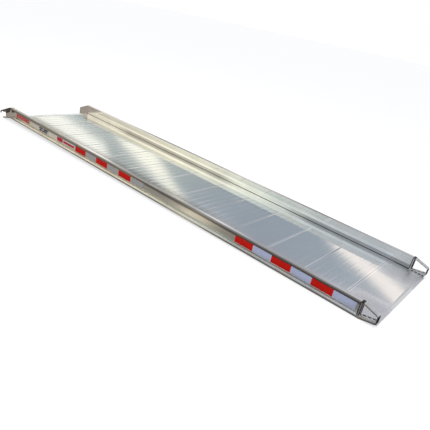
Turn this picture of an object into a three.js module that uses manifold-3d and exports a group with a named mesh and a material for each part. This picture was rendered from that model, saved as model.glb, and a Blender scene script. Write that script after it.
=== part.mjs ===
// Aluminium walk ramp for loading trucks and trailers. Millimetres, +Z up.
// +X runs up the ramp from the toe on the ground to the truck end, and +Y is the left side.
// Inside the ramp group X is 0 at the toe and Z is 0 at the underside of the side rails.
import * as THREE from 'three';
import { mergeVertices } from 'three/addons/utils/BufferGeometryUtils.js';
import Module from 'manifold-3d';

// Overall sizes
const overallWidth = 965; // across the outer edges of the side rails
const toeRun = 270; // toe apron, measured up the ramp
const plankPitch = 308; // one deck plank
const plankCount = 12;
const lipFlat = 49; // flat part of the lip plate, before the bend
const endRun = 145; // bent truck end, measured along X
const endDrop = 36; // fall of the rail underside and the deck over that run
const endTopDrop = 64; // fall of the rail top over the same run

// Side rails: an outward-open channel with a hollow top rail and a foot under the deck
const railHeight = 112;
const railDepth = 34;
const webThickness = 5;
const footThickness = 5;
const footReach = 35;
const lipHeight = 14;
const lipThickness = 5;
const topRailHeight = 24;
const topRailWall = 4;
const topRailRadius = 8;
const boreRadius = 2;

// Deck
const deckHeight = 18; // walking surface above the rail underside
const skin = 4;
const legThickness = 4;
const legsPerPlank = 5;
const legClearance = 2; // planks stop short of the ground
const ridgePitch = 6.35;
const ridgeDepth = 0.5;
const ridgeValley = 1.6;
const landWidth = 4; // smooth land along both edges of a plank
const railGroove = 5; // open groove between rail web and edge strip
const stripWidth = 113;
const bevelRun = 26;
const bevelTop = 12;
const toeThickness = 3;
const apronPlate = 5;
const toeEarRoot = 10; // plain margin where an ear joins the ridged plate
const toeEarRun = 160; // the front of the apron reaches the loops and rails this far up the ramp

// Toe handles: a flat bar bent into an open loop in front of each rail
const railStart = 120; // lower end of the rails
const endPlateThickness = 12;
const loopBar = 9;
const loopBottomBar = 20;
const loopRise = 18; // the bottom bar climbs this far from the rail to the nose
const noseHeight = 78;
const noseRadius = 10;

// Truck-end hooks, profile-cut plate on the outside of the bent rail ends
const hookThickness = 8;
const hookStart = 4;
const hookBody = 78;
const hookBodyHeight = 46;
const hookArm = 13;
const hookReach = 40; // past the end of the rails
const hookTipLength = 10;
const hookTipDrop = 24;

// Reflective tape and labels on the outer webs
const tapeWidth = 50.8;
const tapeLength = 914.4;
const filmThickness = 0.8;
const lowerTapeStart = 26; // from the lower end of the rails
const upperTapeEnd = 1088; // from the bend

// Clearances
const weldGap = 0.3;
const plankGap = 0.8;

const straightLength = toeRun + plankCount * plankPitch + lipFlat;
const totalLength = straightLength + endRun + hookReach;
const outerY = overallWidth / 2;
const innerY = outerY - railDepth;
const stripOuterY = innerY - railGroove;
const stripInnerY = stripOuterY - stripWidth;
const webOuterY = innerY + webThickness;
const webMiddle = (lipHeight + railHeight - topRailHeight) / 2;
const loopBack = railStart - endPlateThickness - 2 * weldGap;
const sides = [['left', 1], ['right', -1]];

const aluminium = { color: 0xb9bfc4, roughness: 0.38, metalness: 1 };
const railAluminium = { color: 0xc9c7bd, roughness: 0.3, metalness: 1 };
const darkSteel = { color: 0x2e2521, roughness: 0.55, metalness: 0.8 };
const redWhiteTape = { color: 0xc31c0c, roughness: 0.35, metalness: 0 };
const whiteFilm = { color: 0xe6e2dc, roughness: 0.45, metalness: 0 };
const redFilm = { color: 0xa53c3c, roughness: 0.45, metalness: 0 };

const solids = await Module();
solids.setup();

const ramp = new THREE.Group();
ramp.position.set(-totalLength / 2, 0, endDrop);

function add(name, geometry, finish) {
  const mesh = new THREE.Mesh(geometry, new THREE.MeshStandardMaterial(finish));
  mesh.name = name;
  ramp.add(mesh);
}

// A Y-Z section carried along +X from one X to another.
function alongX(section, fromX, toX) {
  const geometry = new THREE.ExtrudeGeometry(section, {
    depth: toX - fromX,
    bevelEnabled: false,
    curveSegments: 4,
  });
  const turn = new THREE.Matrix4().makeBasis(
    new THREE.Vector3(0, 1, 0),
    new THREE.Vector3(0, 0, 1),
    new THREE.Vector3(1, 0, 0),
  );
  geometry.applyMatrix4(turn);
  geometry.translate(fromX, 0, 0);
  return geometry;
}

// An X-Z section carried across the ramp from one Y to another.
function acrossY(section, fromY, toY) {
  const geometry = new THREE.ExtrudeGeometry(section, {
    depth: toY - fromY,
    bevelEnabled: false,
    curveSegments: 4,
  });
  geometry.rotateX(Math.PI / 2);
  geometry.translate(0, toY, 0);
  return geometry;
}

// One closed body made of overlapping ones.
function unite(geometries) {
  const bodies = geometries.map((geometry) => {
    const bare = new THREE.BufferGeometry();
    bare.setAttribute('position', geometry.getAttribute('position'));
    const merged = mergeVertices(bare, 1e-4);
    return new solids.Manifold(new solids.Mesh({
      numProp: 3,
      vertProperties: new Float32Array(merged.getAttribute('position').array),
      triVerts: new Uint32Array(merged.getIndex().array),
    }));
  });
  const mesh = solids.Manifold.union(bodies).getMesh();
  const geometry = new THREE.BufferGeometry();
  geometry.setAttribute('position', new THREE.BufferAttribute(mesh.vertProperties, 3));
  geometry.setIndex(new THREE.BufferAttribute(mesh.triVerts, 1));
  const flat = geometry.toNonIndexed();
  flat.computeVertexNormals();
  return flat;
}

function polygon(points) {
  return new THREE.Shape(points.map(([a, b]) => new THREE.Vector2(a, b)));
}

// Rounds the corners of a closed outline whose points are [a, b, radius].
function rounded(points, PathType = THREE.Shape) {
  const path = new PathType();
  points.forEach(([a, b, radius = 0], index) => {
    const corner = new THREE.Vector2(a, b);
    const before = points[(index + points.length - 1) % points.length];
    const after = points[(index + 1) % points.length];
    const back = new THREE.Vector2(before[0], before[1]).sub(corner).setLength(radius).add(corner);
    const ahead = new THREE.Vector2(after[0], after[1]).sub(corner).setLength(radius).add(corner);
    if (index === 0) path.moveTo(back.x, back.y);
    else path.lineTo(back.x, back.y);
    if (radius > 0) path.quadraticCurveTo(a, b, ahead.x, ahead.y);
  });
  path.closePath();
  return path;
}

// Turns a left-hand outline into its right-hand mirror, still listed anticlockwise.
function forSide(side, points) {
  if (side > 0) return points;
  return points.map(([y, ...rest]) => [-y, ...rest]).reverse();
}

function railSection(side) {
  const topRailBottom = railHeight - topRailHeight;
  const boreBottom = topRailBottom + topRailWall;
  const boreTop = railHeight - topRailWall;
  const section = rounded(forSide(side, [
    [innerY - footReach, 0],
    [outerY, 0, 3],
    [outerY, lipHeight, 2],
    [outerY - lipThickness, lipHeight, 2],
    [outerY - lipThickness, footThickness, 3],
    [webOuterY, footThickness, 3],
    [webOuterY, topRailBottom, 3],
    [outerY, topRailBottom, topRailRadius],
    [outerY, railHeight, topRailRadius],
    [innerY, railHeight, 3],
    [innerY, footThickness],
    [innerY - footReach, footThickness],
  ]));
  section.holes.push(rounded(forSide(side, [
    [innerY + topRailWall, boreBottom, boreRadius],
    [outerY - topRailWall, boreBottom, boreRadius],
    [outerY - topRailWall, boreTop, boreRadius],
    [innerY + topRailWall, boreTop, boreRadius],
  ]), THREE.Path));
  return section;
}

function buildRails() {
  for (const [name, side] of sides) {
    add(`rail_${name}`, alongX(railSection(side), railStart, straightLength), railAluminium);
  }
}

// The bent end keeps the rail's section: its foot falls by endDrop, its top rail by endTopDrop.
function buildRailEnds() {
  const startX = straightLength + weldGap;
  const endX = straightLength + endRun;
  for (const [name, side] of sides) {
    const geometry = alongX(railSection(side), startX, endX);
    const position = geometry.attributes.position;
    for (let i = 0; i < position.count; i += 1) {
      const share = (position.getX(i) - straightLength) / endRun;
      const inTopRail = position.getZ(i) > railHeight / 2;
      const fall = share * (inTopRail ? endTopDrop : endDrop);
      position.setZ(i, position.getZ(i) - fall);
    }
    add(`rail_end_${name}`, geometry, railAluminium);
  }
}

// Smooth lengthwise extrusion between a rail and the planks; its outer leg stands on the rail's foot.
function buildEdgeStrips() {
  const footTop = footThickness + weldGap;
  const middle = stripOuterY - stripWidth / 2;
  const under = deckHeight - skin;
  for (const [name, side] of sides) {
    const section = polygon(forSide(side, [
      [stripInnerY, legClearance],
      [stripInnerY + legThickness, legClearance],
      [stripInnerY + legThickness, under],
      [middle - legThickness / 2, under],
      [middle - legThickness / 2, legClearance],
      [middle + legThickness / 2, legClearance],
      [middle + legThickness / 2, under],
      [stripOuterY - legThickness, under],
      [stripOuterY - legThickness, footTop],
      [stripOuterY, footTop],
      [stripOuterY, deckHeight],
      [stripInnerY, deckHeight],
    ]));
    const fromX = toeRun + plankGap / 2;
    const toX = straightLength - lipFlat - plankGap / 2;
    add(`edge_strip_${name}`, alongX(section, fromX, toX), aluminium);
  }
}

// Points of a ridged walking surface that runs from one X-Z point to another.
function ridges(fromX, fromZ, toX, toZ) {
  const length = toX - fromX;
  const count = Math.floor((length - 2 * landWidth) / ridgePitch);
  const margin = (length - count * ridgePitch) / 2;
  const heightAt = (x) => fromZ + ((toZ - fromZ) * (x - fromX)) / length;
  const points = [[fromX, fromZ]];
  for (let i = 0; i < count; i += 1) {
    const valley = fromX + margin + (i + 0.5) * ridgePitch;
    const rise = ridgeValley / 2;
    points.push([valley - rise, heightAt(valley - rise)]);
    points.push([valley, heightAt(valley) - ridgeDepth]);
    points.push([valley + rise, heightAt(valley + rise)]);
  }
  points.push([toX, toZ]);
  return points;
}

// The comb of legs under a plank, listed from its upper end back to its lower end.
function plankLegs(fromX, toX) {
  const under = deckHeight - skin;
  const step = (toX - fromX - legThickness) / (legsPerPlank - 1);
  const points = [];
  for (let i = legsPerPlank - 1; i >= 0; i -= 1) {
    const legX = fromX + i * step;
    if (i < legsPerPlank - 1) points.push([legX + legThickness, under]);
    points.push([legX + legThickness, legClearance]);
    points.push([legX, legClearance]);
    if (i > 0) points.push([legX, under]);
  }
  return points;
}

function buildPlanks() {
  const halfWidth = stripInnerY - weldGap;
  for (let i = 0; i < plankCount; i += 1) {
    const fromX = toeRun + i * plankPitch + plankGap / 2;
    const toX = fromX + plankPitch - plankGap;
    const top = ridges(fromX, deckHeight, toX, deckHeight);
    const section = polygon([...top, ...plankLegs(fromX, toX)]);
    const number = String(i + 1).padStart(2, '0');
    add(`deck_plank_${number}`, acrossY(section, -halfWidth, halfWidth), aluminium);
  }
}

// Ground end of the deck: a ridged plate with a bevelled front edge. Ears at the front meet the loops
// and rails; behind them the open groove beside the rails runs on, and a leg stands on their feet.
function buildToeApron() {
  const endX = toeRun - plankGap / 2;
  const footTop = footThickness + weldGap;
  const section = polygon([
    [0, 0],
    [0, toeThickness],
    ...ridges(bevelRun, bevelTop, endX, deckHeight),
    [endX, footTop],
    [endX - legThickness, footTop],
    [endX - legThickness, deckHeight - apronPlate],
    [bevelRun, bevelTop - apronPlate],
    [bevelRun / 2, 0],
  ]);
  const earTop = bevelTop + ((deckHeight - bevelTop) * (toeEarRun - bevelRun)) / (endX - bevelRun);
  const ears = polygon([
    [0, 0],
    [0, toeThickness],
    [bevelRun, bevelTop],
    [toeEarRun, earTop],
    [toeEarRun, earTop - apronPlate],
    [bevelRun, bevelTop - apronPlate],
    [bevelRun / 2, 0],
  ]);
  const plate = acrossY(section, -stripOuterY, stripOuterY);
  const reach = innerY - weldGap;
  const root = stripOuterY - toeEarRoot;
  const bodies = [plate, acrossY(ears, root, reach), acrossY(ears, -reach, -root)];
  add('toe_apron', unite(bodies), aluminium);
}

// Truck end of the deck: a plain plate that bends down with the rail ends.
function buildLipPlate() {
  const halfWidth = innerY - weldGap;
  const fromX = straightLength - lipFlat + plankGap / 2;
  const endX = straightLength + endRun;
  const under = deckHeight - apronPlate;
  const footTop = footThickness + weldGap;
  const section = polygon([
    [fromX, deckHeight],
    [straightLength, deckHeight],
    [endX, deckHeight - endDrop],
    [endX, under - endDrop],
    [straightLength, under],
    [fromX + legThickness, under],
    [fromX + legThickness, footTop],
    [fromX, footTop],
  ]);
  add('lip_plate', acrossY(section, -halfWidth, halfWidth), aluminium);
}

function buildEndPlates() {
  for (const [name, side] of sides) {
    const plate = new THREE.BoxGeometry(endPlateThickness, railDepth, railHeight);
    const middleX = railStart - weldGap - endPlateThickness / 2;
    plate.translate(middleX, side * (innerY + railDepth / 2), railHeight / 2);
    add(`rail_end_plate_${name}`, plate, railAluminium);
  }
}

// One bent bar: down from the rail top to the nose, and back to the foot of the rail.
function buildHandleLoops() {
  const innerRadius = noseRadius - loopBar / 2;
  const section = rounded([
    [loopBack, 0],
    [loopBack, loopBottomBar],
    [loopBar, loopRise + loopBottomBar, innerRadius],
    [loopBar, noseHeight - loopBar, innerRadius],
    [loopBack, railHeight - loopBar],
    [loopBack, railHeight],
    [0, noseHeight, noseRadius],
    [0, loopRise, noseRadius],
  ]);
  for (const [name, side] of sides) {
    const nearY = Math.min(side * innerY, side * outerY);
    add(`handle_loop_${name}`, acrossY(section, nearY, nearY + railDepth), railAluminium);
  }
}

function buildHooks() {
  const fromX = straightLength + hookStart;
  const bodyEnd = straightLength + hookBody;
  const tipX = totalLength;
  const tipBack = tipX - hookTipLength;
  const topAt = (x) => railHeight - (endTopDrop * (x - straightLength)) / endRun;
  const section = rounded([
    [fromX, topAt(fromX), 3],
    [tipX, topAt(tipX), 5],
    [tipX, topAt(tipX) - hookTipDrop, 3],
    [tipBack, topAt(tipX) - hookTipDrop, 2],
    [tipBack, topAt(tipBack) - hookArm, 4],
    [bodyEnd, topAt(bodyEnd) - hookArm, 8],
    [bodyEnd, topAt(bodyEnd) - hookBodyHeight, 6],
    [fromX, topAt(fromX) - hookBodyHeight, 6],
  ]);
  for (const [name, side] of sides) {
    const inside = outerY + weldGap;
    const nearY = side > 0 ? inside : -inside - hookThickness;
    add(`hook_${name}`, acrossY(section, nearY, nearY + hookThickness), darkSteel);
  }
}

// A thin film on the middle of a rail's outer web, starting at one X.
function addFilm(name, side, fromX, length, height, finish) {
  const film = new THREE.BoxGeometry(length, filmThickness, height);
  const y = side * (webOuterY + weldGap + filmThickness / 2);
  film.translate(fromX + length / 2, y, webMiddle);
  add(name, film, finish);
}

function buildTape() {
  const lowerX = railStart + lowerTapeStart;
  const upperX = straightLength - upperTapeEnd - tapeLength;
  for (const [name, side] of sides) {
    addFilm(`tape_${name}_lower`, side, lowerX, tapeLength, tapeWidth, redWhiteTape);
    addFilm(`tape_${name}_upper`, side, upperX, tapeLength, tapeWidth, redWhiteTape);
  }
}

// Labels near the truck end of the left rail, given by where each starts below the bend and its size.
function buildLabels() {
  const labels = [
    ['warning_label', 311, 236, 34, redFilm],
    ['data_label', 648, 165, 40, whiteFilm],
    ['maker_label', 1072, 278, 40, whiteFilm],
  ];
  for (const [name, belowBend, length, height, finish] of labels) {
    addFilm(name, 1, straightLength - belowBend, length, height, finish);
  }
}

buildRails();
buildRailEnds();
buildEdgeStrips();
buildPlanks();
buildToeApron();
buildLipPlate();
buildEndPlates();
buildHandleLoops();
buildHooks();
buildTape();
buildLabels();

export default ramp;
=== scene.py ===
"""Aluminium loading ramp: ribbed deck planks between side rails, toe handles and truck hooks."""

import math

import bmesh
import bpy
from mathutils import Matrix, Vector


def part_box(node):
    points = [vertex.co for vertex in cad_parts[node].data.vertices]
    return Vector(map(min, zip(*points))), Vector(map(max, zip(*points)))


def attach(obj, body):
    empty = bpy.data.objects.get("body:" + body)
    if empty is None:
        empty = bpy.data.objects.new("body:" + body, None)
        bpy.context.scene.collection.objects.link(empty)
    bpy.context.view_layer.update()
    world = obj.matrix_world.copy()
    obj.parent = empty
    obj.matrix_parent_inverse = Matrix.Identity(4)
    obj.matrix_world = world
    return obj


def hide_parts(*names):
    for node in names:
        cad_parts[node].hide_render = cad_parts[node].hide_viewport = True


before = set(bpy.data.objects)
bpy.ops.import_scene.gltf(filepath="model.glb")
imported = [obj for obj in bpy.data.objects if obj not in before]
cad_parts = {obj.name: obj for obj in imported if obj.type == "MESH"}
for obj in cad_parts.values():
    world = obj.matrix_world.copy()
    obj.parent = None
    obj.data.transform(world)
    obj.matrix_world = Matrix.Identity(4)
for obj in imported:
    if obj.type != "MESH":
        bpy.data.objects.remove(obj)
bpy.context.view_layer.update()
SIDES = {"left": 1, "right": -1}


# --- Side rails ---------------------------------------------------------------------------------
# Each rail is one aluminium extrusion, an outward-open channel under a hollow top rail, left as it
# comes from the press: satin, with fine die lines along its length and a few dull handling patches.
# Its truck end is cut down and bent, and welded on as a short section of the same extrusion.


def wire(material, source, target):
    material.node_tree.links.new(source, target)


def node(material, kind, **settings):
    """Adds a shader node; settings are its own properties or its sockets, with _ for a space."""
    made = material.node_tree.nodes.new(kind)
    for key, value in settings.items():
        if hasattr(made, key):
            setattr(made, key, value)
        else:
            made.inputs[key.replace("_", " ")].default_value = value
    return made


def colour_band(material, source, stops):
    """A colour ramp over source, with stops of (place, red, green, blue)."""
    ramp = node(material, "ShaderNodeValToRGB")
    while len(ramp.color_ramp.elements) < len(stops):
        ramp.color_ramp.elements.new(0.5)
    for element, (place, *colour) in zip(ramp.color_ramp.elements, stops):
        element.position = place
        element.color = (*colour, 1)
    wire(material, source, ramp.inputs["Fac"])
    return ramp.outputs["Color"]


def stretched(material, length, across, height):
    """Object coordinates scaled so that a noise is drawn out along one direction."""
    place = node(material, "ShaderNodeTexCoord")
    mapping = node(material, "ShaderNodeMapping")
    mapping.inputs["Scale"].default_value = (length, across, height)
    wire(material, place.outputs["Object"], mapping.inputs["Vector"])
    return mapping.outputs["Vector"]


def noise(material, vector, scale, detail=4.0, roughness=0.55):
    texture = node(material, "ShaderNodeTexNoise")
    texture.inputs["Scale"].default_value = scale
    texture.inputs["Detail"].default_value = detail
    texture.inputs["Roughness"].default_value = roughness
    wire(material, vector, texture.inputs["Vector"])
    return texture.outputs["Fac"]


def blend(material, first, second, share):
    """Mixes two signals, with share of the second in the result."""
    mix = node(material, "ShaderNodeMix", data_type="FLOAT")
    mix.inputs[0].default_value = share
    wire(material, first, mix.inputs[2])
    wire(material, second, mix.inputs[3])
    return mix.outputs[0]


def remap(material, source, low, high, start=0.3, end=0.7):
    change = node(material, "ShaderNodeMapRange")
    change.inputs["From Min"].default_value = start
    change.inputs["From Max"].default_value = end
    change.inputs["To Min"].default_value = low
    change.inputs["To Max"].default_value = high
    wire(material, source, change.inputs["Value"])
    return change.outputs["Result"]


def aluminium(name, grain, shades, roughness, relief):
    """Mill-finish aluminium whose die lines run along the axis with the smallest grain scale."""
    material = bpy.data.materials.new(name)
    material.use_nodes = True
    shader = material.node_tree.nodes["Principled BSDF"]
    shader.inputs["Metallic"].default_value = 1.0
    lines = noise(material, stretched(material, *grain), 1.0, 3.0, 0.6)
    clouds = noise(material, stretched(material, 1, 1, 1), 3.5, 5.0, 0.6)
    tone = blend(material, lines, clouds, 0.45)
    wire(material, colour_band(material, tone, shades), shader.inputs["Base Color"])
    patches = noise(material, stretched(material, 2, 6, 6), 2.2, 6.0, 0.65)
    worn = blend(material, lines, patches, 0.6)
    wire(material, remap(material, worn, *roughness), shader.inputs["Roughness"])
    bump = node(material, "ShaderNodeBump")
    bump.inputs["Strength"].default_value = 0.35
    bump.inputs["Distance"].default_value = relief
    wire(material, lines, bump.inputs["Height"])
    wire(material, bump.outputs["Normal"], shader.inputs["Normal"])
    return material


def maths(material, operation, first, second=0.0):
    """One maths node between two signals or numbers."""
    made = node(material, "ShaderNodeMath", operation=operation)
    for socket, value in zip(made.inputs, (first, second)):
        if isinstance(value, (int, float)):
            socket.default_value = value
        else:
            wire(material, value, socket)
    return made.outputs[0]


def above(material, signal, level):
    """A mask that is 1 where the signal is over the level."""
    return maths(material, "GREATER_THAN", signal, level)


def below(material, signal, level):
    """A mask that is 1 where the signal is under the level."""
    return maths(material, "LESS_THAN", signal, level)


def both(material, first, *others):
    """A mask that is 1 only where every one of the masks is."""
    for other in others:
        first = maths(material, "MULTIPLY", first, other)
    return first


def places(material):
    """Object coordinates as separate X, Y and Z signals."""
    place = node(material, "ShaderNodeTexCoord")
    parts = node(material, "ShaderNodeSeparateXYZ")
    wire(material, place.outputs["Object"], parts.inputs["Vector"])
    return parts.outputs


def tint(material, colours):
    """Multiplies a metal's own shades by a second colour signal."""
    shader = material.node_tree.nodes["Principled BSDF"]
    own = shader.inputs["Base Color"].links[0].from_socket
    mix = node(material, "ShaderNodeMix", data_type="RGBA", blend_type="MULTIPLY")
    mix.inputs[0].default_value = 1.0
    wire(material, own, mix.inputs[6])
    wire(material, colours, mix.inputs[7])
    wire(material, mix.outputs[2], shader.inputs["Base Color"])


def paint_darker(material, mask, colour):
    """Darkens a metal towards one tone where the mask is 1; most uses are painted shade or
    reflection.
    """
    tint(material, colour_band(material, mask, [(0.0, 1, 1, 1), (1.0, *colour)]))


def dull(material, mask, roughness):
    """Moves a metal's roughness to one value where the mask is 1."""
    shader = material.node_tree.nodes["Principled BSDF"]
    own = shader.inputs["Roughness"].links[0].from_socket
    mix = node(material, "ShaderNodeMix", data_type="FLOAT")
    wire(material, mask, mix.inputs[0])
    wire(material, own, mix.inputs[2])
    mix.inputs[3].default_value = roughness
    wire(material, mix.outputs[0], shader.inputs["Roughness"])


def dress(piece, material):
    """Gives a carried-over CAD node or a new piece its one material."""
    piece.data.materials.clear()
    piece.data.materials.append(material)


rail_metal = aluminium(
    "rail aluminium",
    grain=(2.5, 260, 260),
    shades=[(0.3, 0.62, 0.615, 0.60), (0.52, 0.80, 0.795, 0.775), (0.72, 0.90, 0.895, 0.88)],
    roughness=(0.08, 0.15),
    relief=0.00004,
)

RAIL_DEPTH = 0.034
WALL = 0.005
rail_low, rail_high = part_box("rail_left")
deck_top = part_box("edge_strip_left")[1].z
web_inside = rail_high.y - RAIL_DEPTH
along, across, up = places(rail_metal)
off_centre = maths(rail_metal, "ABSOLUTE", across)
inner_face = below(rail_metal, off_centre, web_inside + 0.0003)
outer_face = above(rail_metal, off_centre, rail_high.y - WALL)
straight = below(rail_metal, along, rail_high.x + 0.0001)
bent = above(rail_metal, along, rail_high.x - 0.01)

# Painted reflection: a darker band along the foot of the inner face, weak on two stretches.
band_levels = [(0.22, 1.0), (0.29, 0.1), (0.40, 0.1), (0.47, 1.0), (0.80, 1.0), (0.87, 0.15)]
band_strength = colour_band(
    rail_metal,
    remap(rail_metal, along, 0.0, 1.0, rail_low.x, rail_high.x),
    [(place, level, level, level) for place, level in band_levels],
)
base_band = remap(rail_metal, up, 1.0, 0.0, deck_top + 0.026, deck_top + 0.031)
painted_foot_reflection = both(rail_metal, inner_face, straight, base_band, band_strength)
paint_darker(rail_metal, painted_foot_reflection, (0.52, 0.52, 0.53))
# Painted shade: the inner face is painted near black down in the groove, where shade falls.
painted_groove_shade = below(rail_metal, up, deck_top + 0.002)
paint_darker(rail_metal, both(rail_metal, inner_face, straight, painted_groove_shade), (0.06, 0.055, 0.05))

# Painted shade: the outer faces of the top rail and lip are darkened, and so is the web close
# under the top rail, where the overhang shades it.
painted_top_rail_shade = above(rail_metal, up, rail_high.z - 0.025)
paint_darker(rail_metal, both(rail_metal, outer_face, painted_top_rail_shade), (0.40, 0.385, 0.375))
painted_lip_shade = below(rail_metal, up, rail_low.z + 0.0165)
paint_darker(rail_metal, both(rail_metal, outer_face, painted_lip_shade), (0.62, 0.62, 0.62))
painted_shade_under_top_rail = both(
    rail_metal,
    above(rail_metal, off_centre, web_inside + 0.002),
    below(rail_metal, off_centre, rail_high.y - WALL),
    below(rail_metal, up, rail_high.z - 0.0245),
    remap(rail_metal, up, 0.0, 1.0, rail_high.z - 0.050, rail_high.z - 0.036),
)
paint_darker(rail_metal, painted_shade_under_top_rail, (0.50, 0.49, 0.48))

# The crest of the rail is the smoothest part; the bent ends are duller and browner.
dull(rail_metal, above(rail_metal, up, rail_high.z - 0.006), 0.045)
dull(rail_metal, both(rail_metal, bent, inner_face), 0.45)
paint_darker(rail_metal, both(rail_metal, bent, inner_face), (0.74, 0.68, 0.66))
for side in SIDES:
    dress(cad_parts[f"rail_{side}"], rail_metal)
    dress(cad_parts[f"rail_end_{side}"], rail_metal)


# --- Deck planks --------------------------------------------------------------------------------
# Wide hollow-backed extrusions laid across the ramp and welded side by side. Narrow V grooves leave
# flat cross ribs for grip, with a plain land at each edge; five legs stiffen the back.

RIBS = 48
CUTS = 8  # strips that each rib and its groove are cut into
GROOVE_PART = 4
GROOVE_DEPTH = 0.0003
SKIN = 0.004
LEG_COUNT = 5
SEAM_DEPTH = 0.0007


def start_cube(name, low, high):
    """A cube primitive that fills the box from low to high, left in edit mode."""
    bpy.ops.object.select_all(action="DESELECT")
    middle = [(a + b) / 2 for a, b in zip(low, high)]
    bpy.ops.mesh.primitive_cube_add(size=1, location=middle)
    piece = bpy.context.object
    piece.name = name
    piece.scale = [b - a for a, b in zip(low, high)]
    bpy.ops.object.transform_apply(location=True, rotation=True, scale=True)
    bpy.ops.object.mode_set(mode="EDIT")
    return piece


def pick(piece, kind, test):
    """In edit mode, selects only the verts, edges or faces whose place passes the test."""
    modes = {"verts": "VERT", "edges": "EDGE", "faces": "FACE"}
    bpy.ops.mesh.select_mode(type=modes[kind])
    bpy.ops.mesh.select_all(action="DESELECT")
    mesh = bmesh.from_edit_mesh(piece.data)
    for item in getattr(mesh, kind):
        if kind == "verts":
            item.select_set(test(item.co))
        elif kind == "edges":
            item.select_set(test(*sorted((v.co for v in item.verts), key=lambda c: c.x)))
        else:
            item.select_set(test(item.calc_center_median(), item.normal))
    mesh.select_flush_mode()
    bmesh.update_edit_mesh(piece.data)


def shift(x=0.0, y=0.0, z=0.0):
    bpy.ops.transform.translate(value=(x, y, z))


def extrude(x=0.0, y=0.0, z=0.0):
    bpy.ops.mesh.extrude_region_move(TRANSFORM_OT_translate={"value": (x, y, z)})


def cut(piece, place, normal, clear_outer=False):
    """Cuts the whole piece with a plane, and can drop and cap the part beyond it."""
    bpy.ops.mesh.select_all(action="SELECT")
    ends = {"clear_outer": clear_outer, "use_fill": clear_outer}
    bpy.ops.mesh.bisect(plane_co=place, plane_no=normal, **ends)


def round_edges(piece, width, segments=2, angle=30):
    """Leaves edit mode and breaks the sharp edges with an applied bevel."""
    bpy.ops.mesh.select_all(action="SELECT")
    bpy.ops.mesh.remove_doubles(threshold=0.00001)
    bpy.ops.mesh.normals_make_consistent(inside=False)
    bpy.ops.object.mode_set(mode="OBJECT")
    bevel = piece.modifiers.new("broken edges", "BEVEL")
    bevel.width = width
    bevel.segments = segments
    bevel.limit_method = "ANGLE"
    bevel.angle_limit = math.radians(angle)
    bpy.ops.object.modifier_apply(modifier=bevel.name)
    bpy.ops.object.shade_smooth_by_angle(angle=math.radians(35))


def fit(piece, material, slot, *nodes):
    """Dresses a finished piece, joins it to the ramp and lets it stand for its CAD nodes."""
    dress(piece, material)
    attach(piece, "root")
    if nodes:
        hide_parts(*nodes)


def press_grooves(piece, first_x, step, cells, top_at):
    """Lowers the middle line of every rib cell of a top that is cut into strips one step long."""

    def in_groove(place):
        cell, part = divmod(round((place.x - first_x) / step), CUTS)
        return 0 <= cell < cells and part == GROOVE_PART and abs(place.z - top_at(place.x)) < 0.0002

    pick(piece, "verts", in_groove)
    shift(z=-GROOVE_DEPTH)


def copy_of(piece, name, x=0.0, y=0.0, mirror_y=False):
    """A copy with a mesh of its own, moved or mirrored and applied."""
    bpy.ops.object.select_all(action="DESELECT")
    made = piece.copy()
    made.data = piece.data.copy()
    made.name = name
    bpy.context.scene.collection.objects.link(made)
    bpy.context.view_layer.objects.active = made
    made.select_set(True)
    made.location = (x, y, 0)
    if mirror_y:
        made.scale = (1, -1, 1)
    bpy.ops.object.transform_apply(location=True, rotation=True, scale=True)
    if mirror_y:
        bpy.ops.object.mode_set(mode="EDIT")
        bpy.ops.mesh.select_all(action="SELECT")
        bpy.ops.mesh.normals_make_consistent(inside=False)
        bpy.ops.object.mode_set(mode="OBJECT")
    return made


plank_metal = aluminium(
    "deck aluminium",
    grain=(260, 14, 260),
    shades=[(0.3, 0.81, 0.825, 0.84), (0.5, 0.86, 0.87, 0.88), (0.7, 0.92, 0.925, 0.93)],
    roughness=(0.06, 0.085),
    relief=0.000004,
)

plank_low, plank_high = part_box("deck_plank_01")
plank_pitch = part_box("deck_plank_02")[0].x - plank_low.x
along, across, _ = places(plank_metal)
off_centre = maths(plank_metal, "ABSOLUTE", across)
from_first_seam = maths(plank_metal, "SUBTRACT", along, plank_low.x - 0.0004)
planks_along = maths(plank_metal, "DIVIDE", from_first_seam, plank_pitch)
seam_distance = maths(plank_metal, "PINGPONG", planks_along, 0.5)
# Dark seam lines between the planks, each with a painted highlight: a brighter strip a few
# millimetres wide on both sides of it.
seam_dark_and_highlight = [
    (0.0, 0.45, 0.44, 0.43),
    (0.004, 0.50, 0.49, 0.48),
    (0.009, 1.0, 1.0, 1.0),
    (0.032, 1.0, 1.0, 1.0),
    (0.044, 0.85, 0.85, 0.85),
]
tint(plank_metal, colour_band(plank_metal, seam_distance, seam_dark_and_highlight))

# Painted reflection: up the ramp from the second plank both sides are tinted darker than the
# middle, warm on the left and blue-grey on the right. The outer margins and the corners of the
# toe are rougher.
painted_side_reflection = both(
    plank_metal,
    remap(plank_metal, off_centre, 0.0, 1.0, 0.20, 0.29),
    remap(plank_metal, along, 0.0, 1.0, plank_low.x + 0.75, plank_low.x + 1.15),
)
paint_darker(plank_metal, both(plank_metal, painted_side_reflection, above(plank_metal, across, 0.0)), (0.62, 0.60, 0.575))
paint_darker(plank_metal, both(plank_metal, painted_side_reflection, below(plank_metal, across, 0.0)), (0.74, 0.81, 0.88))
dull(plank_metal, remap(plank_metal, off_centre, 0.0, 1.0, 0.36, 0.42), 0.40)
toe_area = remap(plank_metal, along, 1.0, 0.0, plank_low.x - 0.10, plank_low.x + 0.02)
toe_margin = remap(plank_metal, off_centre, 0.0, 1.0, 0.16, 0.26)
dull(plank_metal, both(plank_metal, toe_area, toe_margin), 0.42)

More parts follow.
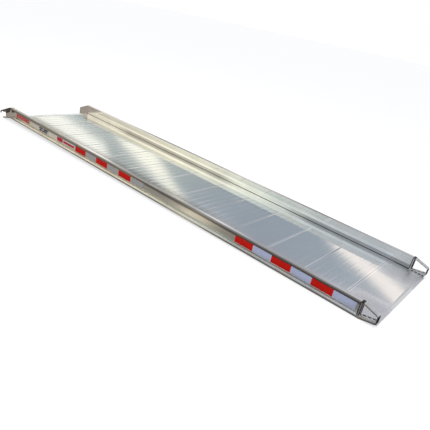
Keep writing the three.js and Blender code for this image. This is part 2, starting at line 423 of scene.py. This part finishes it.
strip_width = (plank_high.x - plank_low.x) / (RIBS * CUTS)
plank = start_cube(
    "plank_01",
    (plank_low.x, plank_low.y, plank_high.z - SKIN),
    (plank_high.x, plank_high.y, plank_high.z),
)
pick(plank, "edges", lambda a, b: b.x - a.x > 0.1)
bpy.ops.mesh.subdivide(number_cuts=RIBS * CUTS - 1)
press_grooves(plank, plank_low.x, strip_width, RIBS, lambda x: plank_high.z)


def at_seam(place):
    """The top corners of a plank, along its first and last line."""
    end = min(place.x - plank_low.x, plank_high.x - place.x)
    return end < 0.0001 and place.z > plank_high.z - 0.0001


pick(plank, "verts", at_seam)
shift(z=-SEAM_DEPTH)
leg_starts = [round(i * (RIBS * CUTS - 2) / (LEG_COUNT - 1)) for i in range(LEG_COUNT)]
leg_strips = [start + i for start in leg_starts for i in (0, 1)]


def under_leg(place, normal):
    """Faces of the underside where a leg hangs from the skin."""
    return normal.z < -0.9 and int((place.x - plank_low.x) / strip_width) in leg_strips


pick(plank, "faces", under_leg)
extrude(z=plank_low.z - (plank_high.z - SKIN))
round_edges(plank, 0.00012, segments=1, angle=25)
fit(plank, plank_metal, "deck_aluminium", "deck_plank_01")

for number in range(2, 13):
    low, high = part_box(f"deck_plank_{number:02d}")
    next_plank = copy_of(plank, f"plank_{number:02d}", x=low.x - plank_low.x)
    fit(next_plank, plank_metal, "deck_aluminium", f"deck_plank_{number:02d}")


# --- Edge strips --------------------------------------------------------------------------------
# A smooth extrusion runs along each side of the planks, with its outer leg on the foot of the rail.
# Its shades are brighter and bluer than the ribbed deck's, a painted reflection of the sky, and
# it is stitch-welded to the rail across a narrow open groove, about once a plank.

STITCH_LENGTH = 0.07
STITCH_RADIUS = 0.0038
STITCH_DEPTH = 0.0035

strip_metal = aluminium(
    "strip aluminium",
    grain=(1.2, 240, 240),
    shades=[(0.3, 0.76, 0.79, 0.81), (0.5, 0.87, 0.905, 0.93), (0.7, 0.93, 0.955, 0.97)],
    roughness=(0.12, 0.2),
    relief=0.00002,
)
strip_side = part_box("edge_strip_left")[1].y
_, across, _ = places(strip_metal)
# Painted shade: the strip's edge at the groove is painted near black, where the groove is in shade.
painted_strip_groove_shade = above(strip_metal, maths(strip_metal, "ABSOLUTE", across), strip_side - 0.0028)
paint_darker(strip_metal, painted_strip_groove_shade, (0.06, 0.055, 0.05))
for side in SIDES:
    dress(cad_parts[f"edge_strip_{side}"], strip_metal)


def weld_metal(name, shades):
    """Rippled filler metal with soot between the ripples."""
    material = bpy.data.materials.new(name)
    material.use_nodes = True
    shader = material.node_tree.nodes["Principled BSDF"]
    shader.inputs["Metallic"].default_value = 1.0
    grit = noise(material, stretched(material, 1, 1, 1), 160.0, 5.0, 0.7)
    wire(material, colour_band(material, grit, shades), shader.inputs["Base Color"])
    wire(material, remap(material, grit, 0.55, 0.35), shader.inputs["Roughness"])
    bump = node(material, "ShaderNodeBump")
    bump.inputs["Strength"].default_value = 0.5
    bump.inputs["Distance"].default_value = 0.0006
    wire(material, grit, bump.inputs["Height"])
    wire(material, bump.outputs["Normal"], shader.inputs["Normal"])
    return material


def bead(name, start, end, radius, ripples):
    """A weld bead from start to end: a round bar, swelled into ripples and tapered at both tips."""
    bpy.ops.object.select_all(action="DESELECT")
    length = math.dist(start, end)
    middle = [(a + b) / 2 for a, b in zip(start, end)]
    direction = [(b - a) / length for a, b in zip(start, end)]
    bpy.ops.mesh.primitive_cylinder_add(vertices=10, radius=radius, depth=length)
    piece = bpy.context.object
    piece.name = name
    bpy.ops.object.mode_set(mode="EDIT")
    pick(piece, "edges", lambda a, b: abs(b.z - a.z) > length / 2)
    bpy.ops.mesh.subdivide(number_cuts=ripples * 2)
    step = length / (ripples * 2 + 1)

    def ring(number):
        pick(piece, "verts", lambda p: round((p.z + length / 2) / step) == number)

    for number in range(1, ripples * 2 + 1, 2):
        ring(number)
        bpy.ops.transform.resize(value=(0.84, 0.84, 1))
    for number in (0, ripples * 2 + 1):
        ring(number)
        bpy.ops.transform.resize(value=(0.45, 0.45, 1))
    bpy.ops.object.mode_set(mode="OBJECT")
    turn = Vector(direction).to_track_quat("Z", "Y")
    piece.rotation_mode = "QUATERNION"
    piece.rotation_quaternion = turn
    piece.location = middle
    bpy.ops.object.transform_apply(location=True, rotation=True, scale=True)
    bpy.ops.object.shade_smooth_by_angle(angle=math.radians(50))
    return piece


def join(name, pieces):
    """Joins pieces of one kind into a single object."""
    bpy.ops.object.select_all(action="DESELECT")
    for piece in pieces:
        piece.select_set(True)
    bpy.context.view_layer.objects.active = pieces[0]
    bpy.ops.object.join()
    joined = bpy.context.object
    joined.name = name
    return joined


bright_shades = [(0.34, 0.30, 0.30, 0.30), (0.50, 0.56, 0.57, 0.58), (0.62, 0.68, 0.69, 0.70)]
weld = weld_metal("weld metal", bright_shades)
for side, sign in SIDES.items():
    low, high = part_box(f"edge_strip_{side}")
    strip_edge = high.y if sign > 0 else low.y
    rail_low, rail_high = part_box(f"rail_{side}")
    rail_face = rail_high.y - RAIL_DEPTH if sign > 0 else rail_low.y + RAIL_DEPTH
    groove = (strip_edge + rail_face) / 2
    height = high.z - STITCH_DEPTH
    stitches = []
    for number in range(1, 13):
        plank_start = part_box(f"deck_plank_{number:02d}")[0].x
        stitches.append(
            bead(
                f"stitch_{side}_{number:02d}",
                (plank_start - STITCH_LENGTH / 2, groove, height),
                (plank_start + STITCH_LENGTH / 2, groove, height),
                STITCH_RADIUS,
                ripples=12,
            )
        )
    fit(join(f"stitch_welds_{side}", stitches), weld, "rail_aluminium")


# --- Toe apron ----------------------------------------------------------------------------------
# The ground end of the deck is a heavier ribbed plate that slopes down to a machined, bevelled
# front edge. Tyres and rough ground keep the bevel bright and slightly scuffed.

APRON_PLATE = 0.005
BEVEL_RUN = 0.026
BEVEL_DROP = 0.006
TOE_THICKNESS = 0.003
APRON_RIBS = 38
EAR_RUN = 0.160
HEEL_DEPTH = 0.0074

toe_low, toe_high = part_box("toe_apron")
bevel_x = toe_low.x + BEVEL_RUN
apron = start_cube(
    "apron",
    (bevel_x, -strip_side, toe_high.z - APRON_PLATE),
    (toe_high.x, strip_side, toe_high.z),
)
pick(apron, "verts", lambda p: p.x < bevel_x + 0.001)
shift(z=-BEVEL_DROP)
pick(apron, "edges", lambda a, b: b.x - a.x > 0.1)
bpy.ops.mesh.subdivide(number_cuts=APRON_RIBS * CUTS - 1)
apron_run = toe_high.x - bevel_x


def apron_top(x):
    return toe_high.z - BEVEL_DROP * (toe_high.x - x) / apron_run


apron_strip = apron_run / (APRON_RIBS * CUTS)
press_grooves(apron, bevel_x, apron_strip, APRON_RIBS, apron_top)
half_fall = (toe_high.z - BEVEL_DROP - toe_low.z - TOE_THICKNESS) / 2
pick(apron, "faces", lambda p, n: n.x < -0.9)
extrude(x=-BEVEL_RUN / 2)
pick(apron, "verts", lambda p: p.x < bevel_x - 0.001 and p.z < apron_top(bevel_x) - 0.001)
shift(z=toe_low.z - (toe_high.z - APRON_PLATE - BEVEL_DROP))
pick(apron, "verts", lambda p: p.x < bevel_x - 0.001 and p.z > toe_low.z + 0.001)
shift(z=-half_fall)
pick(apron, "faces", lambda p, n: n.x < -0.9)
extrude(x=-BEVEL_RUN / 2)
pick(apron, "verts", lambda p: p.x < toe_low.x + 0.001 and p.z > toe_low.z + 0.001)
shift(z=-half_fall)
pick(apron, "faces", lambda p, n: n.z < -0.9 and p.x > toe_high.x - 2 * apron_strip)
extrude(z=-HEEL_DEPTH)
cut(apron, (toe_low.x + EAR_RUN, 0, 0), (1, 0, 0))
for sign in SIDES.values():
    pick(apron, "faces", lambda p, n: n.y * sign > 0.9 and p.x < toe_low.x + EAR_RUN)
    extrude(y=sign * (toe_high.y - strip_side))
round_edges(apron, 0.00012, segments=1, angle=25)
fit(apron, plank_metal, "deck_aluminium", "toe_apron")


# --- Lip plate ----------------------------------------------------------------------------------
# A plain plate closes the truck end of the deck and bends down with the rail ends, so that wheels
# roll off it on to the truck bed.

dress(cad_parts["lip_plate"], strip_metal)


# --- Toe handles --------------------------------------------------------------------------------
# In front of each rail a flat bar is bent into an open loop to lift and drag the ramp by. It is
# welded to an upright plate that closes the end of the rail.

BAR = 0.009
BOTTOM_BAR = 0.020
LOOP_RISE = 0.018
NOSE_HEIGHT = 0.078
NOSE_RADIUS = 0.010
UPRIGHT_RADIUS = 0.0036
SHORT_RADIUS = 0.0034
EAR_RADIUS = 0.0038

handle_metal = aluminium(
    "handle aluminium",
    grain=(60, 60, 60),
    shades=[(0.3, 0.40, 0.40, 0.40), (0.5, 0.66, 0.66, 0.66), (0.7, 0.82, 0.82, 0.82)],
    roughness=(0.15, 0.32),
    relief=0.0003,
)

loop_low, loop_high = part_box("handle_loop_left")
along, _, up = places(handle_metal)
# Painted shade: the front face of the nose is painted near black, and the top of the loop next to
# the end plate is near black as well.
paint_darker(handle_metal, below(handle_metal, along, loop_low.x + 0.004), (0.05, 0.05, 0.05))
crown = above(handle_metal, up, loop_high.z - 0.006)
at_plate = above(handle_metal, along, loop_high.x - 0.006)
paint_darker(handle_metal, both(handle_metal, crown, at_plate), (0.06, 0.06, 0.06))
back = loop_high.x
reach = back - loop_low.x
run_on = 0.03
nose_fall = loop_high.z - loop_low.z - NOSE_HEIGHT
loop = start_cube("handle_left", loop_low, (back + run_on, loop_high.y, loop_high.z))
pick(loop, "verts", lambda p: p.x < loop_low.x + 0.001 and p.z > loop_low.z + 0.05)
shift(z=-nose_fall)
pick(loop, "verts", lambda p: p.x > back and p.z > loop_low.z + 0.05)
shift(z=nose_fall / reach * run_on)
pick(loop, "verts", lambda p: p.x < loop_low.x + 0.001 and p.z < loop_low.z + 0.05)
shift(z=LOOP_RISE)
pick(loop, "verts", lambda p: p.x > back and p.z < loop_low.z + 0.05)
shift(z=-LOOP_RISE / reach * run_on)
pick(loop, "edges", lambda a, b: max(a.x, b.x) < loop_low.x + 0.001 and abs(a.y - b.y) > 0.01)
bpy.ops.mesh.bevel(offset=NOSE_RADIUS, segments=5, affect="EDGES")
pick(loop, "faces", lambda p, n: abs(n.y) > 0.9)
bpy.ops.mesh.inset(thickness=BAR, depth=0, use_individual=True)


def window_floor(place):
    """Corners of the window's lower edge, which is lifted so that the bottom bar is thicker."""
    level = loop_low.z + LOOP_RISE * (back - place.x) / reach
    on_side = loop_low.x + BAR - 0.001 < place.x < back + run_on - BAR / 2
    return on_side and level + BAR * 0.5 < place.z < level + BAR * 1.9


pick(loop, "verts", window_floor)
shift(z=BOTTOM_BAR - BAR)


def window_face(place, normal):
    """The inset faces inside the bars on both sides of the loop."""
    inside = loop_low.x + BAR < place.x < back + run_on - BAR
    return abs(normal.y) > 0.9 and inside and loop_low.z + 0.035 < place.z < loop_high.z - 0.035


pick(loop, "faces", window_face)
bpy.ops.mesh.bridge_edge_loops()
cut(loop, (back, 0, 0), (1, 0, 0), clear_outer=True)
round_edges(loop, 0.0012, segments=2, angle=40)
fit(loop, handle_metal, "rail_aluminium", "handle_loop_left")
other_loop = copy_of(loop, "handle_right", mirror_y=True)
fit(other_loop, handle_metal, "rail_aluminium", "handle_loop_right")

sooty_shades = [(0.36, 0.020, 0.020, 0.022), (0.50, 0.07, 0.07, 0.07), (0.64, 0.30, 0.30, 0.30)]
sooty_weld = weld_metal("sooty weld", sooty_shades)
for side, sign in SIDES.items():
    dress(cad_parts[f"rail_end_plate_{side}"], handle_metal)
    plate_low, plate_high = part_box(f"rail_end_plate_{side}")
    inner, outer = sorted((abs(plate_low.y), abs(plate_high.y)))
    seams = []
    for label, x in (("rail", plate_high.x), ("loop", plate_low.x)):
        for edge, y in (("outer", outer - 0.001), ("inner", inner + 0.001)):
            foot = (x, sign * y, plate_low.z + 0.02)
            head = (x, sign * y, plate_high.z - 0.004)
            name = f"seam_{side}_{label}_{edge}"
            seams.append(bead(name, foot, head, UPRIGHT_RADIUS, ripples=14))
    near = (plate_low.x, sign * (inner + 0.003), plate_high.z - SHORT_RADIUS)
    far = (plate_low.x, sign * (outer - 0.003), plate_high.z - SHORT_RADIUS)
    seams.append(bead(f"seam_{side}_top", near, far, SHORT_RADIUS, ripples=5))
    for step in (0.0, 0.27, 0.54, 0.81):
        x = loop_low.x + 0.006 + step * (reach - 0.01)
        start = (x, sign * inner, apron_top(x) + 0.001)
        end = (x + 0.018, sign * inner, apron_top(x + 0.018) + 0.001)
        seams.append(bead(f"seam_{side}_ear_{step}", start, end, EAR_RADIUS, ripples=5))
    for step in (0.0, 0.34, 0.68):
        x = loop_low.x + 0.012 + step * (reach - 0.02)
        z = loop_low.z + LOOP_RISE * (back - x) / reach + BOTTOM_BAR
        start = (x, sign * (inner + 0.004), z)
        end = (x + 0.022, sign * (inner + 0.004), z - 0.022 * LOOP_RISE / reach)
        seams.append(bead(f"seam_{side}_bar_{step}", start, end, SHORT_RADIUS, ripples=5))
    fit(join(f"handle_welds_{side}", seams), sooty_weld, "rail_aluminium")


# --- Truck hooks --------------------------------------------------------------------------------
# A profile-cut steel plate is fixed outside each bent rail end. Its arm reaches past the end and
# turns down into a tip that drops behind the edge of the truck bed. The steel is dark and rusty.

ARM = 0.013
TIP_LENGTH = 0.010
BODY_LENGTH = 0.074
BODY_HEIGHT = 0.046
TIP_DROP = 0.024
HOOK_SLOPE = 64 / 145


def hook_steel():
    """Blackened plate with brown rust blooms and paler rubbed spots."""
    material = bpy.data.materials.new("dark hook steel")
    material.use_nodes = True
    shader = material.node_tree.nodes["Principled BSDF"]
    shader.inputs["Metallic"].default_value = 0.6
    bloom = noise(material, stretched(material, 1, 1, 1), 45.0, 8.0, 0.7)
    shades = [(0.38, 0.030, 0.024, 0.021), (0.56, 0.085, 0.062, 0.050), (0.68, 0.19, 0.115, 0.075)]
    wire(material, colour_band(material, bloom, shades), shader.inputs["Base Color"])
    wire(material, remap(material, bloom, 0.42, 0.8), shader.inputs["Roughness"])
    bump = node(material, "ShaderNodeBump")
    bump.inputs["Strength"].default_value = 0.6
    bump.inputs["Distance"].default_value = 0.0005
    wire(material, bloom, bump.inputs["Height"])
    wire(material, bump.outputs["Normal"], shader.inputs["Normal"])
    return material


hook_low, hook_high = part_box("hook_left")
hook = start_cube("hook_plate_left", (hook_low.x, hook_low.y, hook_high.z - ARM), hook_high)
cut(hook, (hook_low.x + BODY_LENGTH, 0, 0), (1, 0, 0))
cut(hook, (hook_high.x - TIP_LENGTH, 0, 0), (1, 0, 0))
pick(hook, "faces", lambda p, n: n.z < -0.9 and p.x < hook_low.x + BODY_LENGTH)
extrude(z=ARM - BODY_HEIGHT)
pick(hook, "faces", lambda p, n: n.z < -0.9 and p.x > hook_high.x - TIP_LENGTH)
extrude(z=ARM - TIP_DROP)
for place in (hook_low.x + BODY_LENGTH, hook_high.x - TIP_LENGTH, hook_high.x):
    pick(hook, "verts", lambda p: abs(p.x - place) < 0.0005)
    shift(z=-(place - hook_low.x) * HOOK_SLOPE)
pick(hook, "edges", lambda a, b: abs(a.y - b.y) > 0.005 and abs(a.x - b.x) < 0.001)
bpy.ops.mesh.bevel(offset=0.003, segments=3, affect="EDGES")
round_edges(hook, 0.0007, segments=2, angle=40)
steel = hook_steel()
fit(hook, steel, "hook_steel", "hook_left")
other_hook = copy_of(hook, "hook_plate_right", mirror_y=True)
fit(other_hook, steel, "hook_steel", "hook_right")


# --- Reflective tape ----------------------------------------------------------------------------
# Two runs of retroreflective film a side, stuck in the recess of the rail: six-inch blocks of red
# and white by turns, with the fine cell pattern of prismatic sheeting under a glossy face.

BLOCK = 0.1524


def prismatic_film(name, start_x, white_as_lit):
    """Red and white blocks, white first, counted from start_x. The last argument is the
    painted tone of the white ones, lighter or darker by how the run is lit.
    """
    material = bpy.data.materials.new(name)
    material.use_nodes = True
    shader = material.node_tree.nodes["Principled BSDF"]
    shader.inputs["Specular IOR Level"].default_value = 0.08
    shader.inputs["Coat Weight"].default_value = 0.02
    shader.inputs["Coat Roughness"].default_value = 0.3
    along = places(material)[0]
    from_start = maths(material, "SUBTRACT", along, start_x)
    pairs = maths(material, "DIVIDE", from_start, 2 * BLOCK)
    red = above(material, maths(material, "FRACT", pairs), 0.5)
    cells = node(material, "ShaderNodeTexVoronoi", feature="DISTANCE_TO_EDGE")
    cells.inputs["Scale"].default_value = 260.0
    cells.inputs["Randomness"].default_value = 0.12
    wire(material, stretched(material, 1, 1, 1), cells.inputs["Vector"])
    fade = noise(material, stretched(material, 1, 1, 1), 9.0, 5.0, 0.6)
    grain = blend(material, remap(material, cells.outputs["Distance"], 0, 1, 0.0, 0.08), fade, 0.5)
    whites = colour_band(material, grain, [(0.2, *[0.8 * c for c in white_as_lit]), (0.8, *white_as_lit)])
    reds = colour_band(material, grain, [(0.2, 0.40, 0.004, 0.001), (0.8, 0.58, 0.008, 0.002)])
    paint = node(material, "ShaderNodeMix", data_type="RGBA")
    wire(material, red, paint.inputs[0])
    wire(material, whites, paint.inputs[6])
    wire(material, reds, paint.inputs[7])
    wire(material, paint.outputs[2], shader.inputs["Base Color"])
    wire(material, remap(material, fade, 0.28, 0.42), shader.inputs["Roughness"])
    bump = node(material, "ShaderNodeBump")
    bump.inputs["Strength"].default_value = 0.15
    bump.inputs["Distance"].default_value = 0.0002
    wire(material, cells.outputs["Distance"], bump.inputs["Height"])
    wire(material, bump.outputs["Normal"], shader.inputs["Normal"])
    return material


# Painted light: the same white film is tinted per run, bluer and brighter on the lower runs and
# greyer and darker, as painted shade, on the upper runs.
for run, white_as_lit in (("lower", (0.44, 0.48, 0.66)), ("upper", (0.38, 0.37, 0.365))):
    film = prismatic_film(f"prismatic film {run}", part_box(f"tape_left_{run}")[0].x, white_as_lit)
    for side in SIDES:
        dress(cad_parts[f"tape_{side}_{run}"], film)


# --- Labels -------------------------------------------------------------------------------------
# Three printed vinyl labels near the truck end of the left rail. Their print is generic: plain
# bars where the real ones have words.


def printed_label(name, ground, ink, rows, edge):
    """A film of one ground colour with bars of ink, placed as shares of its width and height."""
    low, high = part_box(name)
    material = bpy.data.materials.new(name.replace("_", " "))
    material.use_nodes = True
    shader = material.node_tree.nodes["Principled BSDF"]
    shader.inputs["Specular IOR Level"].default_value = 0.12
    shader.inputs["Coat Weight"].default_value = 0.03
    shader.inputs["Coat Roughness"].default_value = 0.3
    along, _, up = places(material)
    height = high.z - low.z
    width = high.x - low.x
    print_area = None
    for from_x, to_x, from_z, to_z in rows:
        bar = both(
            material,
            above(material, along, low.x + from_x * width),
            below(material, along, low.x + to_x * width),
            above(material, up, low.z + from_z * height),
            below(material, up, low.z + to_z * height),
        )
        print_area = bar if print_area is None else maths(material, "MAXIMUM", print_area, bar)
    fade = noise(material, stretched(material, 1, 1, 1), 30.0, 5.0, 0.65)
    grounds = colour_band(material, fade, [(0.3, *[c * 0.82 for c in ground]), (0.65, *ground)])
    inks = colour_band(material, fade, [(0.3, *ink), (0.7, *[min(1, c * 1.35) for c in ink])])
    paint = node(material, "ShaderNodeMix", data_type="RGBA")
    wire(material, print_area, paint.inputs[0])
    wire(material, grounds, paint.inputs[6])
    wire(material, inks, paint.inputs[7])
    wire(material, paint.outputs[2], shader.inputs["Base Color"])
    wire(material, remap(material, fade, *edge), shader.inputs["Roughness"])
    dress(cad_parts[name], material)


printed_label(
    "warning_label",
    ground=(0.46, 0.022, 0.022),
    ink=(0.50, 0.13, 0.12),
    rows=[
        (0.05, 0.16, 0.20, 0.80),
        (0.22, 0.95, 0.66, 0.80),
        (0.22, 0.88, 0.42, 0.54),
        (0.22, 0.92, 0.18, 0.30),
    ],
    edge=(0.35, 0.5),
)
printed_label(
    "data_label",
    ground=(0.58, 0.575, 0.55),
    ink=(0.012, 0.011, 0.010),
    rows=[
        (0.06, 0.46, 0.54, 0.94),
        (0.52, 0.94, 0.58, 0.90),
        (0.10, 0.60, 0.10, 0.42),
        (0.66, 0.90, 0.06, 0.44),
    ],
    edge=(0.35, 0.5),
)
printed_label(
    "maker_label",
    ground=(0.62, 0.61, 0.58),
    ink=(0.42, 0.012, 0.030),
    rows=[(0.02, 0.62, 0.20, 0.72), (0.66, 0.98, 0.06, 0.95)],
    edge=(0.35, 0.5),
)


# --- Floor, light and camera --------------------------------------------------------------------
# The ramp lies on a plain white floor before a white backdrop, on its toe and on the tips of its
# bent ends. The sky that the metal mirrors isn't even: it is painted with soft panels and stripes,
# placed as on a flat ceiling by the spot on the deck that mirrors them in the main view.

tips_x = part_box("rail_end_left")[1].x
tilt = math.atan2(toe_low.z, tips_x - toe_low.x)
bpy.ops.object.select_all(action="DESELECT")
bpy.ops.mesh.primitive_plane_add(size=120)
floor = bpy.context.object
floor.name = "floor"
floor.rotation_euler = (0, tilt, 0)
floor.location = (tips_x, 0, -0.0005)
bpy.ops.object.transform_apply(location=True, rotation=True, scale=True)
white = bpy.data.materials.new("white floor")
white.use_nodes = True
paper = white.node_tree.nodes["Principled BSDF"]
paper.inputs["Base Color"].default_value = (0.52, 0.52, 0.52, 1)
paper.inputs["Roughness"].default_value = 0.9
paper.inputs["Specular IOR Level"].default_value = 0.0
paper.inputs["Emission Color"].default_value = (1, 1, 1, 1)
paper.inputs["Emission Strength"].default_value = 0.64
dress(floor, white)
floor.visible_glossy = False

bpy.ops.object.select_all(action="DESELECT")
bpy.ops.mesh.primitive_uv_sphere_add(radius=55)
backdrop = bpy.context.object
backdrop.name = "backdrop"
plain = bpy.data.materials.new("plain backdrop")
plain.use_nodes = True
sheet = plain.node_tree.nodes["Principled BSDF"]
sheet.inputs["Base Color"].default_value = (0, 0, 0, 1)
sheet.inputs["Specular IOR Level"].default_value = 0.0
sheet.inputs["Emission Color"].default_value = (1, 1, 1, 1)
sheet.inputs["Emission Strength"].default_value = 1.0
dress(backdrop, plain)
backdrop.visible_diffuse = False
backdrop.visible_glossy = False
backdrop.visible_transmission = False
backdrop.visible_shadow = False

world = bpy.data.worlds.new("soft sky")
bpy.context.scene.world = world
world.use_nodes = True
sky = world.node_tree.nodes["Background"]
look = node(world, "ShaderNodeTexCoord")
split = node(world, "ShaderNodeSeparateXYZ")
wire(world, look.outputs["Generated"], split.inputs["Vector"])
east, north, rise = split.outputs
steep = maths(world, "MAXIMUM", maths(world, "ABSOLUTE", rise), 0.02)
ceiling_x = maths(world, "DIVIDE", east, steep)
ceiling_y = maths(world, "DIVIDE", north, steep)
deck_x = maths(world, "SUBTRACT", maths(world, "MULTIPLY", ceiling_x, 1.443), 0.452)
deck_y = maths(world, "ADD", maths(world, "MULTIPLY", ceiling_y, 1.443), 2.87)
to_right = remap(world, north, 1.0, 0.0, -0.1, 0.1)


def slant(slope, level):
    """How far a ceiling place lies beyond a slanting line."""
    leaning = maths(world, "ADD", deck_y, maths(world, "MULTIPLY", deck_x, slope))
    return maths(world, "SUBTRACT", leaning, level)


def near_zero(signal, reach, soft):
    """A soft-edged mask that is 1 where the signal is within reach of nought."""
    return remap(world, maths(world, "ABSOLUTE", signal), 1.0, 0.0, reach, reach + soft)


def mix_colours(share, first, second):
    """Blends two colours, each a signal or a plain red, green and blue."""
    mix = node(world, "ShaderNodeMix", data_type="RGBA")
    wire(world, share, mix.inputs[0])
    for socket, value in ((mix.inputs[6], first), (mix.inputs[7], second)):
        if isinstance(value, tuple):
            socket.default_value = (*value, 1)
        else:
            wire(world, value, socket)
    return mix.outputs[2]


ceiling = colour_band(
    world,
    remap(world, deck_x, 0.0, 1.0, 0.0, 4.0),
    [
        (0.0, 0.49, 0.53, 0.575),
        (0.1, 0.42, 0.48, 0.54),
        (0.3, 0.37, 0.43, 0.495),
        (0.42, 0.40, 0.46, 0.50),
        (0.55, 0.48, 0.54, 0.54),
        (1.0, 0.49, 0.55, 0.53),
    ],
)
ceiling = mix_colours(remap(world, deck_x, 1.0, 0.0, -1.0, -0.5), ceiling, (0.85, 0.85, 0.85))

# Three pale panels: one by the toe, a slanting band across the middle and all beyond the far end.
near_toe = both(
    world,
    near_zero(slant(0.554, 0.03), 0.085, 0.06),
    remap(world, deck_x, 1.0, 0.0, 0.62, 0.80),
)
band_half = remap(world, deck_x, 0.035, 0.15, 1.9, 2.9)
band = maths(world, "SUBTRACT", maths(world, "ABSOLUTE", slant(0.471, 1.105)), band_half)
middle = both(
    world,
    remap(world, band, 1.0, 0.0, -0.02, 0.05),
    remap(world, deck_y, 1.0, 0.0, 0.36, 0.50),
)
beyond = maths(world, "MINIMUM", slant(0.551, 1.705), slant(0.167, 0.538))
far_end = remap(world, beyond, 0.0, 1.0, -0.02, 0.06)
ceiling = mix_colours(near_toe, ceiling, (1.26, 1.17, 1.10))
ceiling = mix_colours(middle, ceiling, (1.35, 1.33, 1.14))
ceiling = mix_colours(far_end, ceiling, (1.36, 1.35, 1.22))


def along_top(stops):
    """Grey levels by how far up the ramp a rail's top mirrors them."""
    reach = remap(world, deck_x, 0.0, 1.0, 0.0, 5.0)
    shades = [(place / 5, level, 0.98 * level, warmth * level) for place, level, warmth in stops]
    return colour_band(world, reach, shades)


near_top = along_top(
    [
        (0.25, 0.72, 1.07),
        (0.60, 0.46, 1.10),
        (0.98, 0.42, 1.08),
        (1.32, 1.05, 1.0),
        (1.66, 0.45, 1.0),
        (2.23, 0.17, 0.97),
        (2.55, 0.60, 0.94),
        (2.87, 1.05, 0.95),
        (3.25, 0.35, 0.93),
        (3.56, 0.15, 0.88),
        (4.26, 0.26, 0.92),
    ]
)
far_top = along_top(
    [
        (0.25, 0.62, 1.06),
        (0.57, 0.50, 1.05),
        (1.00, 0.26, 1.02),
        (1.42, 0.66, 1.0),
        (1.85, 1.00, 0.94),
        (2.28, 0.46, 0.93),
        (2.71, 0.32, 0.95),
        (3.14, 0.34, 0.97),
        (3.56, 0.95, 0.97),
    ]
)
ceiling = mix_colours(remap(world, deck_y, 0.0, 1.0, 0.265, 0.295), ceiling, near_top)
ceiling = mix_colours(remap(world, deck_y, 1.0, 0.0, -0.60, -0.50), ceiling, far_top)

# The left half of the sky, which the inner face of the right rail mirrors, and the horizon.
behind = colour_band(
    world,
    remap(world, ceiling_x, 0.0, 1.0, 0.0, 3.2),
    [
        (0.10, 0.62, 0.66, 0.72),
        (0.30, 0.52, 0.56, 0.58),
        (0.39, 0.88, 0.94, 0.88),
        (0.47, 1.10, 1.08, 0.90),
        (0.62, 1.20, 1.10, 0.84),
        (0.94, 0.82, 0.74, 0.60),
    ],
)
brighter = node(world, "ShaderNodeVectorMath", operation="SCALE")
wire(world, behind, brighter.inputs[0])
brighter.inputs["Scale"].default_value = 1.27
upper = mix_colours(remap(world, north, 0.0, 1.0, -0.05, 0.05), ceiling, brighter.outputs["Vector"])
horizon = mix_colours(remap(world, north, 0.0, 1.0, 0.1, 0.3), (1.0, 1.0, 1.0), (0.42, 0.40, 0.37))
upper = mix_colours(remap(world, rise, 1.0, 0.0, 0.08, 0.2), upper, horizon)
upper = mix_colours(remap(world, rise, 0.0, 1.0, 0.6, 0.9), upper, (0.46, 0.48, 0.51))

# Below the horizon, where the outer faces of the rails look: dark, cooler by the toe, with one warm
# bright stripe.
lower = colour_band(
    world,
    maths(world, "MULTIPLY", rise, -1.0),
    [
        (0.05, 1.0, 1.0, 1.0),
        (0.15, 0.55, 0.53, 0.50),
        (0.28, 0.36, 0.34, 0.31),
        (0.48, 0.25, 0.235, 0.21),
        (0.62, 0.10, 0.09, 0.08),
        (1.0, 0.06, 0.05, 0.04),
    ],
)
cast = mix_colours(remap(world, ceiling_x, 0.0, 1.0, 0.7, 1.1), (0.98, 1.02, 1.16), (1.0, 1.0, 1.0))
cast = mix_colours(remap(world, ceiling_x, 0.0, 1.0, 2.1, 2.5), cast, (1.9, 1.88, 1.8))
cast = mix_colours(remap(world, ceiling_x, 0.0, 1.0, 2.85, 3.02), cast, (1.0, 0.90, 0.84))
shadow_side = both(world, to_right, remap(world, rise, 1.0, 0.0, -0.45, -0.30))
cast = mix_colours(shadow_side, cast, (0.22, 0.22, 0.22))
lit_side = both(world, to_right, remap(world, rise, 0.0, 1.0, -0.3, -0.2))
cast = mix_colours(lit_side, cast, (1.6, 1.6, 1.6))
tinted = node(world, "ShaderNodeMix", data_type="RGBA", blend_type="MULTIPLY")
tinted.inputs[0].default_value = 1.0
wire(world, lower, tinted.inputs[6])
wire(world, cast, tinted.inputs[7])
lower = tinted.outputs[2]
stripe_line = near_zero(maths(world, "SUBTRACT", ceiling_x, 1.353), 0.02, 0.14)
stripe = both(world, stripe_line, remap(world, north, 0.0, 1.0, 0.3, 0.5))
lower = mix_colours(stripe, lower, (0.92, 0.83, 0.64))
whole = mix_colours(remap(world, rise, 1.0, 0.0, -0.01, 0.01), upper, lower)
wire(world, whole, sky.inputs["Color"])
sky.inputs["Strength"].default_value = 1.0


def panel(name, place, aim, size, power, colour):
    """A large soft light that faces a point on the ramp."""
    light = bpy.data.lights.new(name, "AREA")
    light.shape = "RECTANGLE"
    light.size, light.size_y = size
    light.energy = power
    light.color = colour
    holder = bpy.data.objects.new(name, light)
    bpy.context.scene.collection.objects.link(holder)
    holder.location = place
    facing = Vector(aim) - Vector(place)
    holder.rotation_mode = "QUATERNION"
    holder.rotation_quaternion = facing.to_track_quat("-Z", "Y")
    holder.visible_glossy = False


panel("overhead", (0, 0.5, 5.0), (0, 0, 0), (7, 4), 110, (1, 0.99, 0.97))

camera = bpy.data.objects.new("camera", bpy.data.cameras.new("camera"))
bpy.context.scene.collection.objects.link(camera)
camera.location = (-2.552, 2.870, 1.497)
camera.rotation_euler = [math.radians(a) for a in (65.344, -11.290, -139.513)]
camera.data.lens = 38.78
camera.data.sensor_width = 36
camera.data.shift_x = -0.00116
camera.data.shift_y = 0.00116
camera.data.clip_end = 500
bpy.context.scene.camera = camera
bpy.context.scene.view_settings.view_transform = "Standard"
